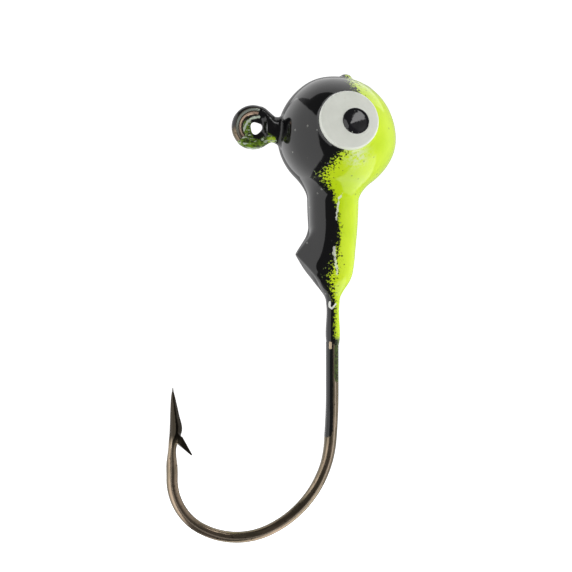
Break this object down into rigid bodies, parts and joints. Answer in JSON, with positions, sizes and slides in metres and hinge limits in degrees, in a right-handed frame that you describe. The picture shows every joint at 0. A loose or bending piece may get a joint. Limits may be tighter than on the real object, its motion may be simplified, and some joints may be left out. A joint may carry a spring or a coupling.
{
  "type": "fishing jig head",
  "caption": "Round ball-head fishing jig: painted lead ball with eyes and a barbed bait collar, cast on a ringed wire hook.",
  "frame": {"origin": "centre of the hole in the line tie", "axes": "+Z along the shank from the hook's bend to the nose of the head, +X from the line tie through the ball to its belly, +Y square to the plane of the hook, on the lure's left"},
  "size_m": [0.0156, 0.0088, 0.0313],
  "materials": {
    "hook_wire": "satin",
    "lead": "matte",
    "white_paint": "gloss",
    "black_paint": "gloss",
    "chartreuse_paint": "gloss",
    "eye_enamel": "gloss",
    "pupil_enamel": "gloss"
  },
  "bodies": {
    "root": {"hook": "hook_wire", "lead_head": "lead", "white_undercoat": "white_paint", "black_topcoat": "black_paint", "chartreuse_topcoat": "chartreuse_paint", "eye_white_left": "eye_enamel", "eye_white_right": "eye_enamel", "pupil_left": "pupil_enamel", "pupil_right": "pupil_enamel"}
  },
  "joints": []
}
